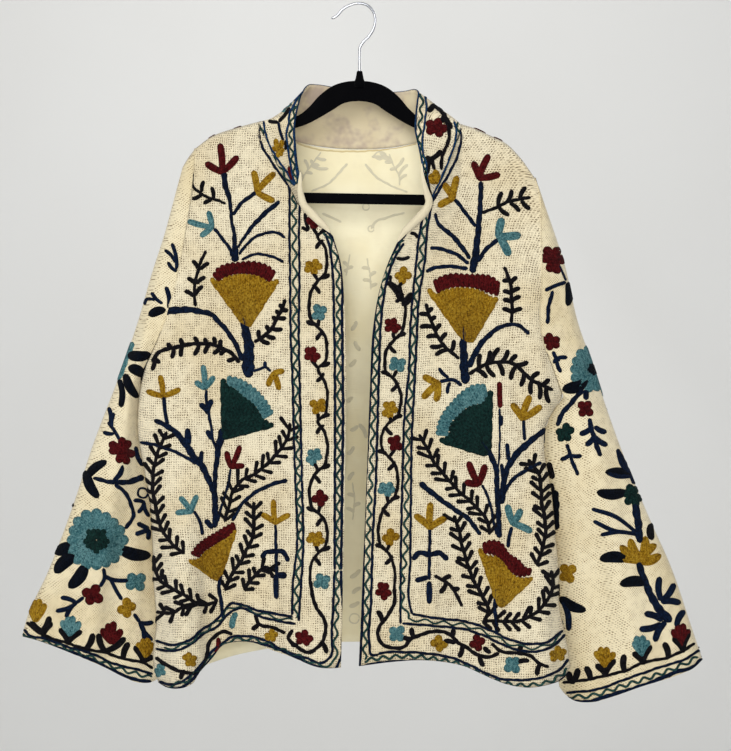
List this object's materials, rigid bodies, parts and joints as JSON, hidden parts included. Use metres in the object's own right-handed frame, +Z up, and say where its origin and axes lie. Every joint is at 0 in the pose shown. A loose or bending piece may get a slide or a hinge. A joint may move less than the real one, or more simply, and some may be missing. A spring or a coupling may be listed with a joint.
{
  "type": "open-front embroidered jacket on a slim hanger with a wire hook",
  "caption": "Loose open-front cotton jacket with a stand collar and wide bell sleeves, hanging from a slim flocked hanger with a wire hook.",
  "frame": {"origin": "The underside of the hook's top bend, where the hook rests on a rail.", "axes": "+Z is up. The jacket's open front faces -Y, and its back faces +Y. The wearer's right side is at -X and the wearer's left side at +X."},
  "size_m": [0.7984, 0.1004, 0.8207],
  "materials": {
    "outer_cloth": "open cream cotton weave with wool chain stitch",
    "lining_cloth": "fine smooth cream cotton",
    "hanger_flock": "black flock over moulded plastic",
    "hook_wire": "bright plated wire"
  },
  "bodies": {
    "root": {"front_right": "outer_cloth", "front_left": "outer_cloth", "back": "outer_cloth", "sleeve_right": "outer_cloth", "sleeve_left": "outer_cloth", "collar": "outer_cloth", "back_lining": "lining_cloth", "collar_lining": "lining_cloth", "edge_roll_right": "lining_cloth", "edge_roll_left": "lining_cloth", "hanger_frame": "hanger_flock", "hanger_hook": "hook_wire"}
  },
  "joints": []
}
